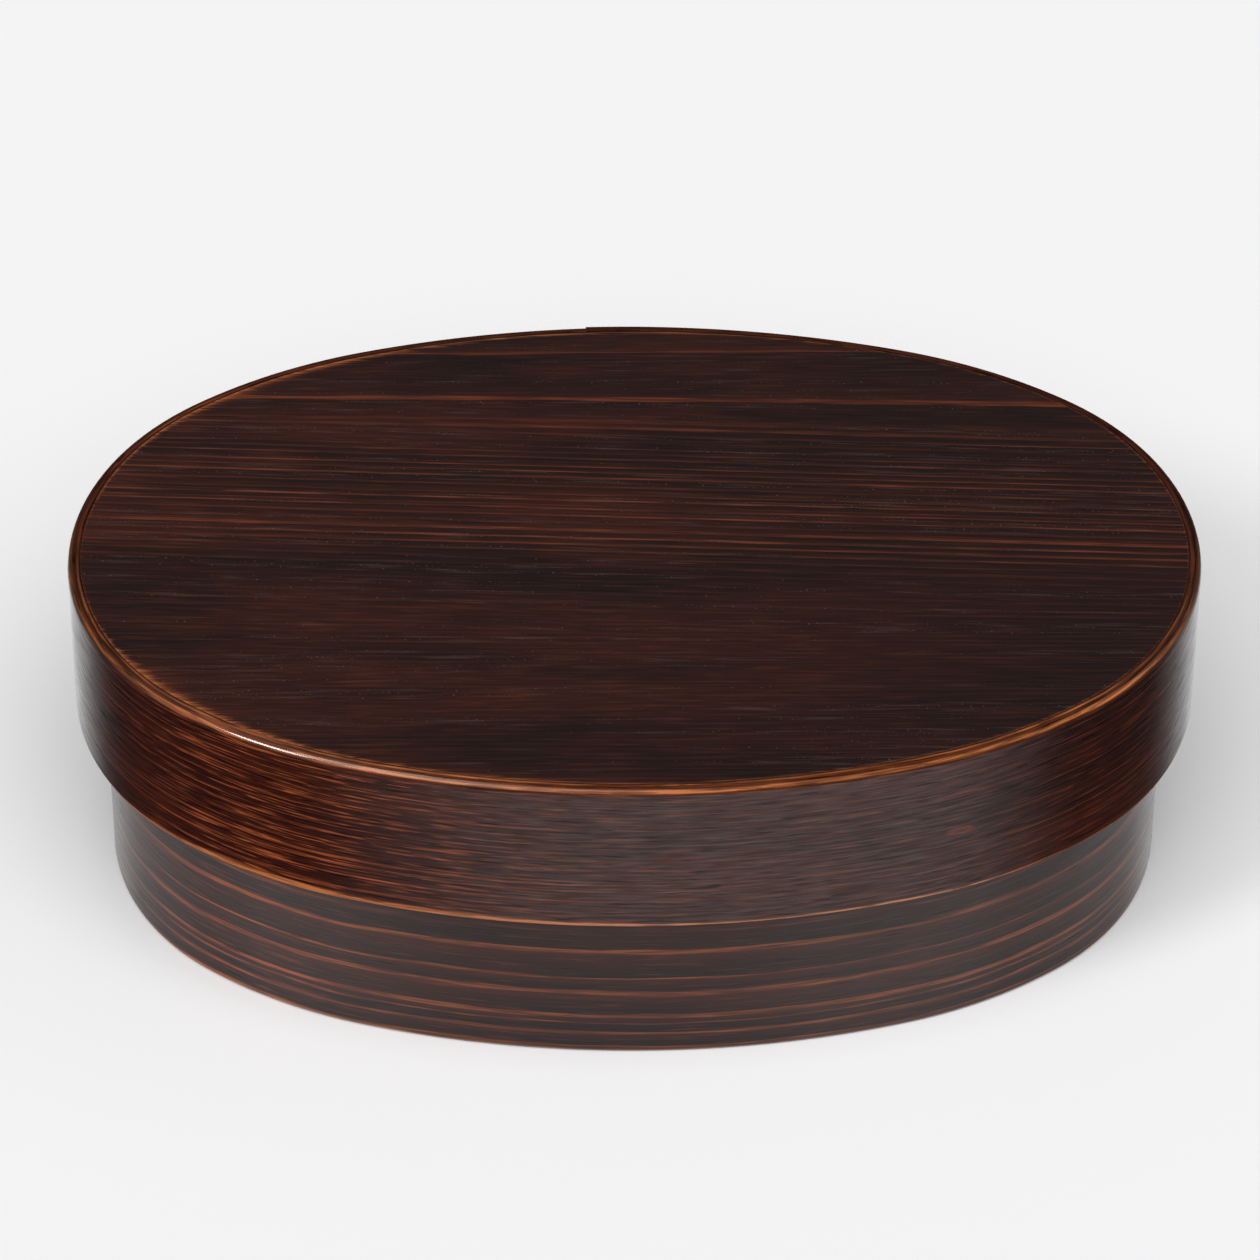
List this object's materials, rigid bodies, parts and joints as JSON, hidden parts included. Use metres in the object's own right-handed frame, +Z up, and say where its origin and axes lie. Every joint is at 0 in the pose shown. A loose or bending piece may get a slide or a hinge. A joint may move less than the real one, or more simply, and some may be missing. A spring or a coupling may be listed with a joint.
{
  "type": "bento box",
  "caption": "Oval bentwood food box with an overlapping lift-off lid, boards let into both bent bands, bark-sewn laps and a loose divider.",
  "frame": {"origin": "centre of the oval, on the surface the box stands on", "axes": "+X along the length, +Y to the back where the bands are lapped, +Z up"},
  "size_m": [0.18, 0.1155, 0.06],
  "materials": {
    "band_lacquer": "satin wiped lacquer over bent softwood",
    "board_lacquer": "satin wiped lacquer over a flat softwood board",
    "divider_lacquer": "satin wiped lacquer over a thin softwood board",
    "bark": "burnished cherry bark"
  },
  "bodies": {
    "box": {"body_band": "band_lacquer", "bottom_board": "board_lacquer", "body_bark_stitch": "bark"},
    "lid": {"lid_band": "band_lacquer", "lid_board": "board_lacquer", "lid_bark_stitch": "bark"},
    "divider": {"divider": "divider_lacquer"}
  },
  "joints": [
    {"name": "lid_lift", "type": "slide", "parent": "box", "child": "lid", "axis": [0, 0, 1], "range_m": [0, 0.08]},
    {"name": "divider_slide", "type": "slide", "parent": "box", "child": "divider", "axis": [1, 0, 0], "range_m": [-0.048, 0]}
  ]
}
